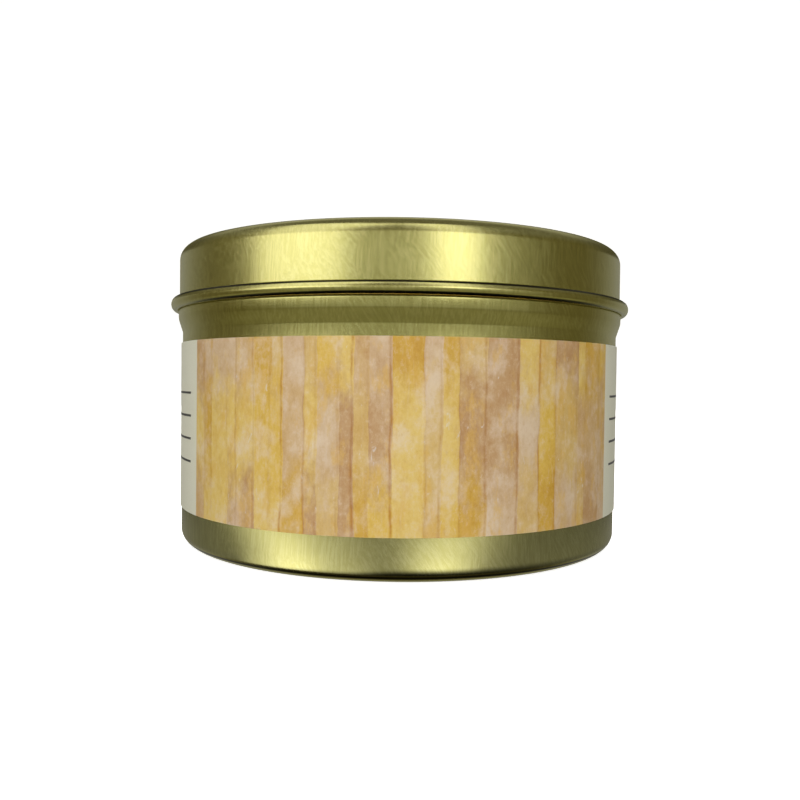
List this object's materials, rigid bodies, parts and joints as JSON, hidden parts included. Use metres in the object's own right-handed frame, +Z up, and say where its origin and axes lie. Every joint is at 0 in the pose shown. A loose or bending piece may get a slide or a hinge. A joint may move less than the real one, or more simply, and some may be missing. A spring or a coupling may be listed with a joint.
{
  "type": "candle tin",
  "caption": "Round seamless slip-lid candle tin in gold lacquer with a rolled lid hem, a swell below the lid, a printed paper wrap label, poured wax and a tabbed wick.",
  "frame": {"origin": "centre of the foot ring, on the tin's axis, where the tin stands", "axes": "+Z up along the tin's axis towards the lid; -Y faces the middle of the label's picture; the label's seam is at +Y"},
  "size_m": [0.0798, 0.0798, 0.0498],
  "materials": {
    "gold_lacquer": "satin",
    "printed_label": "satin",
    "plain_label": "matte",
    "soy_wax": "satin",
    "adhesive_foam": "matte",
    "bare_tinplate": "satin",
    "waxed_cotton": "matte",
    "core_paper": "matte"
  },
  "bodies": {
    "tin": {"tin_body": "gold_lacquer", "wrap_label": "printed_label", "base_label": "plain_label", "wax_fill": "soy_wax", "wick_sticker": "adhesive_foam", "wick_tab": "bare_tinplate", "wick_braid": "waxed_cotton", "wick_core": "core_paper"},
    "lid": {"lid": "gold_lacquer"}
  },
  "joints": [
    {"name": "lid_lift", "type": "slide", "parent": "tin", "child": "lid", "axis": [0, 0, 1], "range_m": [0, 0.06]}
  ]
}
